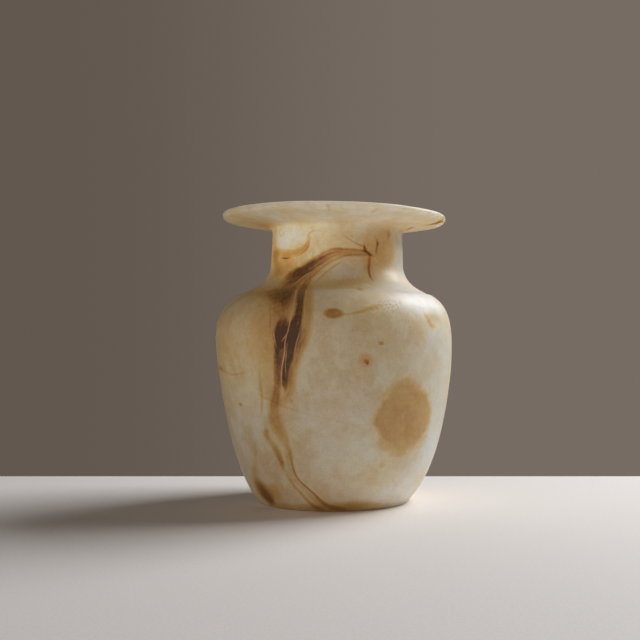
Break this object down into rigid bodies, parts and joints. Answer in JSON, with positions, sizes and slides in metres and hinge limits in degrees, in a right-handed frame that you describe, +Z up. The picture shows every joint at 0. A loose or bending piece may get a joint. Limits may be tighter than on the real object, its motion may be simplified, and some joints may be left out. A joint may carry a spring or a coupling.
{
  "type": "alabaster vase",
  "caption": "Hollow stone vase with a wide flat rim, a short upright neck, high round shoulders and a body that narrows to a small flat foot.",
  "frame": {"origin": "on the vase's upright axis, in the plane of its flat underside", "axes": "+Z up, out of the mouth; -Y to the front that the picture shows; +X to the side that was turned to the light"},
  "size_m": [0.1241, 0.124, 0.1507],
  "materials": {
    "alabaster": "smooth and waxy, a little worn, with brown veins"
  },
  "bodies": {
    "root": {"vase": "alabaster"}
  },
  "joints": []
}
